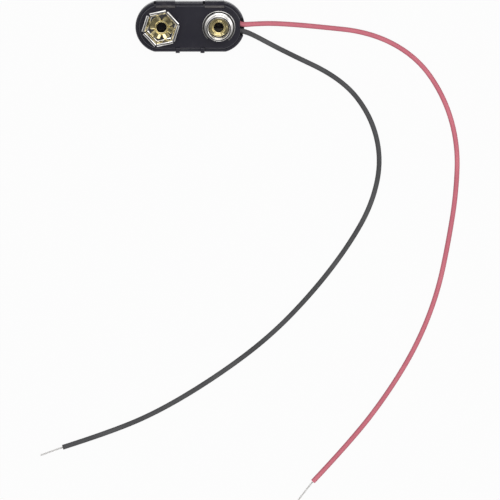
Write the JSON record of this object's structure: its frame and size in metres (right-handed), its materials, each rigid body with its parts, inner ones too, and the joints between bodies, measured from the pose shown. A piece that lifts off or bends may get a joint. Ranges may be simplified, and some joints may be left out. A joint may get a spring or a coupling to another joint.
{
  "type": "battery snap connector",
  "caption": "Oval moulded snap cap for a 9 V battery, with a six-petal socket, a round stud and a red and a black lead with stripped ends",
  "frame": {"origin": "middle of the housing's flat back", "axes": "+X from the socket to the stud and on to the leads, +Y to the long snap hooks, +Z out of the terminals"},
  "size_m": [0.0934, 0.1126, 0.0068],
  "materials": {
    "shell_plastic": "moulded, semi-gloss black",
    "terminal_nickel": "bright nickel plate",
    "eyelet_brass": "bright rolled brass",
    "tag_metal": "tinned brass",
    "red_insulation": "smooth flexible red",
    "black_insulation": "smooth flexible black",
    "core_metal": "tinned copper strands",
    "solder_metal": "dull solder"
  },
  "bodies": {
    "root": {"back_shell": "shell_plastic", "terminal_plate": "shell_plastic", "hex_socket": "terminal_nickel", "socket_eyelet": "eyelet_brass", "socket_solder_tag": "tag_metal", "stud_terminal": "terminal_nickel", "stud_eyelet": "eyelet_brass", "stud_solder_tag": "tag_metal", "red_lead": "red_insulation", "red_conductor": "core_metal", "red_solder_joint": "solder_metal", "black_lead": "black_insulation", "black_conductor": "core_metal", "black_solder_joint": "solder_metal"}
  },
  "joints": []
}
